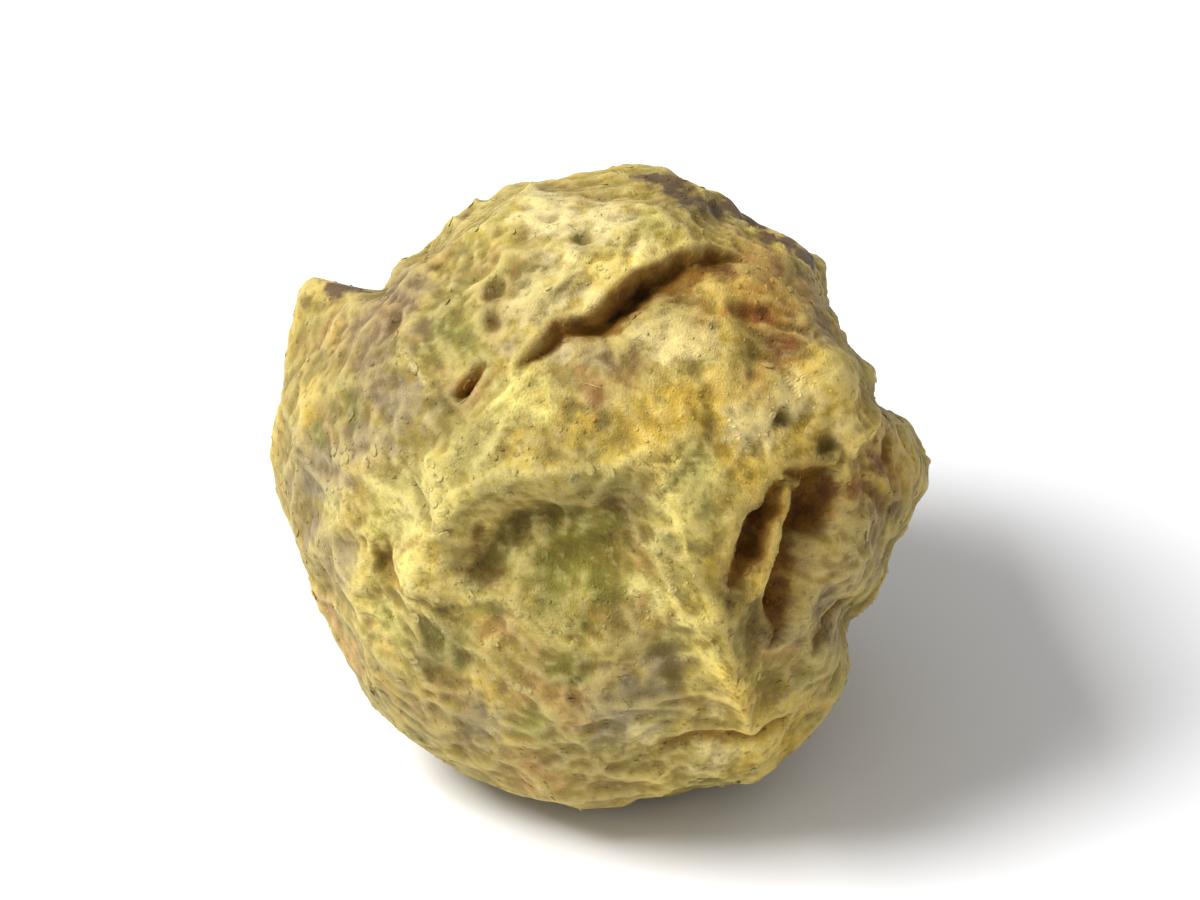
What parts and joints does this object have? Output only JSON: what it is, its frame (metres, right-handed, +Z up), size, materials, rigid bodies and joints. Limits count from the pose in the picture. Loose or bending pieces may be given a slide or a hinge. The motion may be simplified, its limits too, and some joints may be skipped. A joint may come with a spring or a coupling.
{
  "type": "dried green peppercorn",
  "caption": "Dried green peppercorn: a roundish wrinkled berry with folds, clefts, a small beak and a flat resting spot.",
  "frame": {"origin": "on the surface that the grain rests on, under the middle of its bounding box", "axes": "+Z up, +X to the right and -Y towards the side that the picture shows"},
  "size_m": [0.0054, 0.0052, 0.0051],
  "materials": {
    "dried_skin": "matte, dry and slightly rough olive green skin, yellower on its folds and dark brown in its clefts"
  },
  "bodies": {
    "root": {"peppercorn": "dried_skin"}
  },
  "joints": []
}
